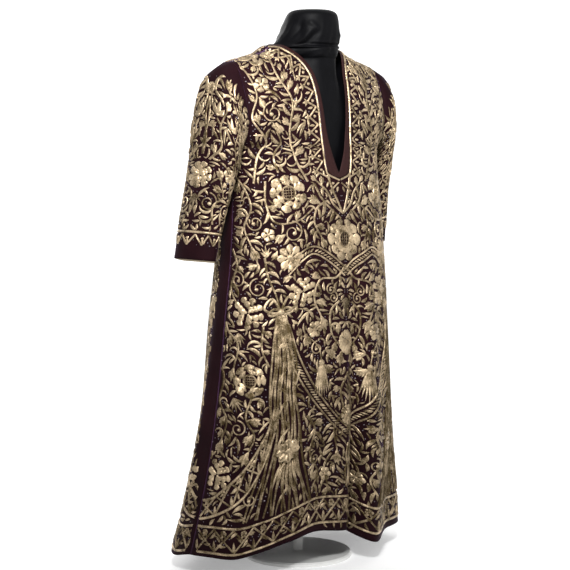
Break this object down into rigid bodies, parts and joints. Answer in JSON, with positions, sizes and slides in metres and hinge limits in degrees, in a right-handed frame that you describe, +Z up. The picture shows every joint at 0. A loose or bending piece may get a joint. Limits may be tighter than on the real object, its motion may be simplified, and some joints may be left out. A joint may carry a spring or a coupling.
{
  "type": "embroidered velvet kaftan on a dress form",
  "caption": "Ankle-length velvet kaftan with wide sleeves, a bound neck slit and raised gold-thread embroidery, on a limbless dress form and stand.",
  "frame": {"origin": "centre of the underside of the stand's round base, on the floor", "axes": "+Z up; the front of the kaftan faces -Y; +X is the wearer's left"},
  "size_m": [0.74, 0.502, 1.5],
  "materials": {
    "velvet": "dark aubergine cotton-backed silk velvet with a purple sheen, worked with raised gold thread",
    "binding": "smooth maroon-brown silk binding",
    "lining": "plain beige cotton",
    "form_satin": "black satin cover with a soft shine",
    "stand_steel": "satin white paint"
  },
  "bodies": {
    "root": {"front": "velvet", "back": "velvet", "sleeve_right": "velvet", "sleeve_left": "velvet", "neck_binding": "binding", "cuff_facing_right": "lining", "cuff_facing_left": "lining", "dress_form": "form_satin", "form_flange": "stand_steel", "form_pole": "stand_steel", "form_base": "stand_steel"}
  },
  "joints": []
}
